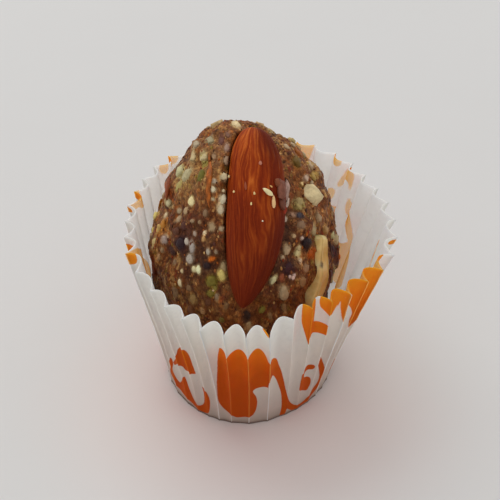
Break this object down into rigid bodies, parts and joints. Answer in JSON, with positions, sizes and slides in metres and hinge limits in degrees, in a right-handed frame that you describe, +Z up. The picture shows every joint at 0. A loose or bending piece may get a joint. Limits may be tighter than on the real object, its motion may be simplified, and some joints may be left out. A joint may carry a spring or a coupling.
{
  "type": "dried fruit pinni",
  "caption": "Tall pressed ball of dried fruit and nuts with an almond on its front face, sitting in a pleated paper case with a printed pattern.",
  "frame": {"origin": "middle of the flat underside of the paper case, on the surface it stands on", "axes": "+Z up out of the case, -Y the front where the almond lies, +X to the right as seen from the front"},
  "size_m": [0.0368, 0.0464, 0.0396],
  "materials": {
    "case_paper": "matt white paper with an orange printed pattern",
    "pressed_fruit": "moist, grainy pressed fruit and nut paste",
    "almond_skin": "dry ridged brown skin with a faint sheen",
    "pale_nut": "cut cream nut, slightly oily"
  },
  "bodies": {
    "root": {"paper_case": "case_paper", "pinni_ball": "pressed_fruit", "almond": "almond_skin", "nut_slice": "pale_nut"}
  },
  "joints": []
}
